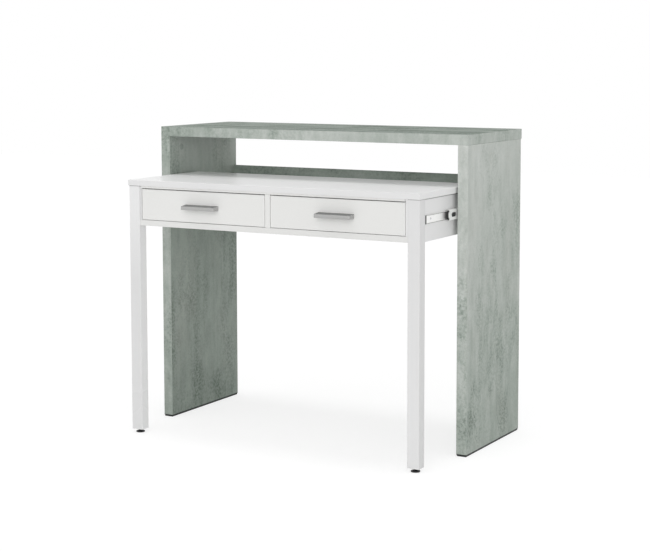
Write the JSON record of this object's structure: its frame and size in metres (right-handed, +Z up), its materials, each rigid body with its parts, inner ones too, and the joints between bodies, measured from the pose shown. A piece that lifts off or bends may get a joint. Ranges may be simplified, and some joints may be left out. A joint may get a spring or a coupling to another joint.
{
  "type": "extendable desk",
  "caption": "Console table with a drawer desk that pulls out from under its top on telescopic ball slides and stands on front legs with levelling feet.",
  "frame": {"origin": "on the floor, at the middle of the whole footprint with the desk drawn out as in the picture", "axes": "+X along the console to the right, as a sitter sees it from the front; +Y to the back; +Z up"},
  "size_m": [0.985, 0.5914, 0.862],
  "materials": {
    "concrete_board": "particle board in a matt, streaky light concrete print",
    "white_board": "board in satin white lacquer",
    "drawer_board": "board in white melamine",
    "hardboard": "thin hardboard, white on top",
    "dowel_wood": "plain beech",
    "zinc_steel": "bright zinc plate",
    "ball_steel": "polished",
    "fitting_steel": "zinc plate",
    "handle_metal": "satin grey",
    "black_plastic": "matt black",
    "base_plastic": "matt dark grey",
    "cap_plastic": "matt concrete grey"
  },
  "bodies": {
    "console": {"console_top": "concrete_board", "left_side_panel": "concrete_board", "right_side_panel": "concrete_board", "rear_rail": "concrete_board", "left_base_strip": "base_plastic", "right_base_strip": "base_plastic", "rear_rail_dowels": "dowel_wood", "console_cam_locks": "fitting_steel", "console_cam_bolts": "fitting_steel", "console_cam_caps": "cap_plastic", "left_slide_outer": "zinc_steel", "right_slide_outer": "zinc_steel", "slide_outer_screws": "fitting_steel"},
    "desk": {"desktop": "white_board", "left_leg": "white_board", "right_leg": "white_board", "left_apron": "white_board", "right_apron": "white_board", "desk_back_board": "white_board", "desk_bottom_board": "white_board", "upper_front_rail": "white_board", "centre_divider": "white_board", "drawer_runner_channels": "zinc_steel", "leg_dowels": "dowel_wood", "desk_cam_locks": "fitting_steel", "desk_cam_bolts": "fitting_steel", "leg_thread_inserts": "fitting_steel", "left_slide_inner": "zinc_steel", "right_slide_inner": "zinc_steel", "slide_inner_screws": "fitting_steel"},
    "left_middle_member": {"left_slide_middle": "zinc_steel", "left_slide_stop": "black_plastic"},
    "left_outer_cage": {"left_outer_ball_cage": "zinc_steel", "left_outer_balls": "ball_steel"},
    "left_inner_cage": {"left_inner_ball_cage": "zinc_steel", "left_inner_balls": "ball_steel"},
    "left_drawer": {"left_drawer_front": "white_board", "left_drawer_outer_side": "drawer_board", "left_drawer_inner_side": "drawer_board", "left_drawer_back": "drawer_board", "left_drawer_bottom": "hardboard", "left_drawer_handle": "handle_metal", "left_drawer_handle_screws": "fitting_steel", "left_drawer_runner_rails": "zinc_steel"},
    "left_foot": {"left_levelling_foot": "black_plastic"},
    "right_middle_member": {"right_slide_middle": "zinc_steel", "right_slide_stop": "black_plastic"},
    "right_outer_cage": {"right_outer_ball_cage": "zinc_steel", "right_outer_balls": "ball_steel"},
    "right_inner_cage": {"right_inner_ball_cage": "zinc_steel", "right_inner_balls": "ball_steel"},
    "right_drawer": {"right_drawer_front": "white_board", "right_drawer_outer_side": "drawer_board", "right_drawer_inner_side": "drawer_board", "right_drawer_back": "drawer_board", "right_drawer_bottom": "hardboard", "right_drawer_handle": "handle_metal", "right_drawer_handle_screws": "fitting_steel", "right_drawer_runner_rails": "zinc_steel"},
    "right_foot": {"right_levelling_foot": "black_plastic"}
  },
  "joints": [
    {"name": "desk_slide", "type": "slide", "parent": "console", "child": "desk", "axis": [0, -1, 0], "range_m": [-0.207, 0.093]},
    {"name": "left_middle_slide", "type": "slide", "parent": "console", "child": "left_middle_member", "axis": [0, -1, 0], "range_m": [-0.1035, 0.0465]},
    {"name": "left_outer_cage_roll", "type": "slide", "parent": "console", "child": "left_outer_cage", "axis": [0, -1, 0], "range_m": [-0.05175, 0.02325]},
    {"name": "left_inner_cage_roll", "type": "slide", "parent": "console", "child": "left_inner_cage", "axis": [0, -1, 0], "range_m": [-0.15525, 0.06975]},
    {"name": "left_drawer_slide", "type": "slide", "parent": "desk", "child": "left_drawer", "axis": [0, -1, 0], "range_m": [0, 0.185]},
    {"name": "left_foot_turn", "type": "hinge", "parent": "desk", "child": "left_foot", "pos_m": [-0.43775, -0.257, 0], "axis": [0, 0, 1], "continuous": true},
    {"name": "right_middle_slide", "type": "slide", "parent": "console", "child": "right_middle_member", "axis": [0, -1, 0], "range_m": [-0.1035, 0.0465]},
    {"name": "right_outer_cage_roll", "type": "slide", "parent": "console", "child": "right_outer_cage", "axis": [0, -1, 0], "range_m": [-0.05175, 0.02325]},
    {"name": "right_inner_cage_roll", "type": "slide", "parent": "console", "child": "right_inner_cage", "axis": [0, -1, 0], "range_m": [-0.15525, 0.06975]},
    {"name": "right_drawer_slide", "type": "slide", "parent": "desk", "child": "right_drawer", "axis": [0, -1, 0], "range_m": [0, 0.185]},
    {"name": "right_foot_turn", "type": "hinge", "parent": "desk", "child": "right_foot", "pos_m": [0.43775, -0.257, 0], "axis": [0, 0, 1], "continuous": true}
  ],
  "couplings": [
    {"joint": "left_middle_slide", "follows": "desk_slide", "ratio": 0.5},
    {"joint": "left_outer_cage_roll", "follows": "desk_slide", "ratio": 0.25},
    {"joint": "left_inner_cage_roll", "follows": "desk_slide", "ratio": 0.75},
    {"joint": "right_middle_slide", "follows": "desk_slide", "ratio": 0.5},
    {"joint": "right_outer_cage_roll", "follows": "desk_slide", "ratio": 0.25},
    {"joint": "right_inner_cage_roll", "follows": "desk_slide", "ratio": 0.75}
  ]
}
